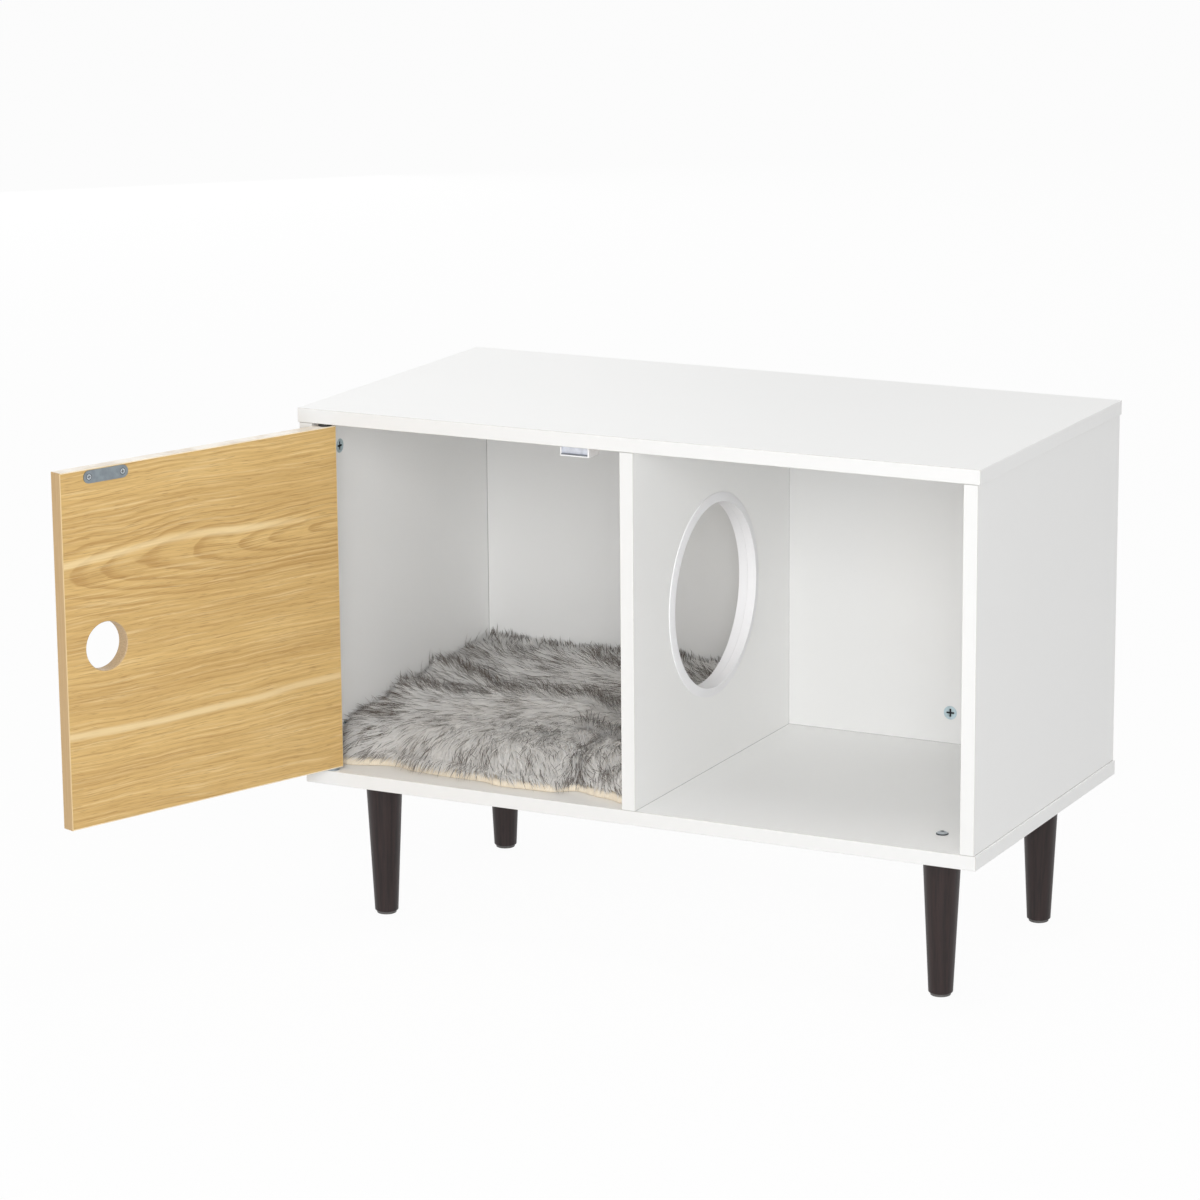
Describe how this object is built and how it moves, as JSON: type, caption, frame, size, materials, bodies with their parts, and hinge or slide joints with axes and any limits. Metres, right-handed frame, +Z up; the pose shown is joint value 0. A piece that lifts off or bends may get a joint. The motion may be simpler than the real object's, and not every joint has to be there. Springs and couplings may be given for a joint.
{
  "type": "cat house side table",
  "caption": "White two-bay cabinet on tapered legs with an oak door on pins, a fur mat and a round pass hole, used as a cat house and side table.",
  "frame": {"origin": "on the floor, under the middle of the box round the whole table with its door open as stored", "axes": "+X along the cabinet's width, towards the open bay; +Y from the front to the back; +Z up"},
  "size_m": [0.8602, 0.7025, 0.555],
  "materials": {
    "white_board": "white melamine board with a faint embossed grain, matte",
    "oak_face": "satin light oak with its grain across the door",
    "oak_edge": "satin light oak edge band",
    "dark_wood": "dark brown satin stain",
    "zinc": "bright zinc plate",
    "steel": "plain steel",
    "brass": "turned brass insert",
    "white_plastic": "white moulded plastic, semi-gloss",
    "black_plastic": "black moulded nylon",
    "grey_plastic": "grey moulded glide",
    "plated_magnet": "nickel-plated magnet",
    "beech": "raw beech dowel",
    "fur": "long pale grey pile with dark brown tips",
    "cream_cloth": "cream cloth backing with a turned hem"
  },
  "bodies": {
    "cabinet": {"top_panel": "white_board", "bottom_panel": "white_board", "left_side_panel": "white_board", "right_side_panel": "white_board", "divider_panel": "white_board", "back_panel": "white_board", "cam_locks": "zinc", "cam_bolts": "steel", "wood_dowels": "beech", "front_left_leg": "dark_wood", "front_right_leg": "dark_wood", "rear_left_leg": "dark_wood", "rear_right_leg": "dark_wood", "leg_inserts": "brass", "leg_bolts": "steel", "leg_glides": "grey_plastic", "lower_pivot_pin": "steel", "upper_pivot_pin": "steel", "lower_pivot_washer": "zinc", "upper_pivot_washer": "black_plastic", "catch_body": "white_plastic", "catch_magnet": "plated_magnet", "catch_pole_plates": "steel", "catch_screws": "zinc", "left_pass_ring": "white_plastic", "right_pass_ring": "white_plastic", "mat_backing": "cream_cloth", "fur_mat": "fur"},
    "door": {"door_panel": "oak_face", "door_side_bands": "oak_edge", "door_end_bands": "oak_edge", "lower_pivot_bush": "black_plastic", "upper_pivot_bush": "black_plastic", "strike_plate": "zinc", "strike_screws": "zinc"}
  },
  "joints": [
    {"name": "door_hinge", "type": "hinge", "parent": "cabinet", "child": "door", "pos_m": [-0.30133, -0.0312, 0.354], "axis": [0, 0, 1], "range_deg": [0, 111]}
  ]
}
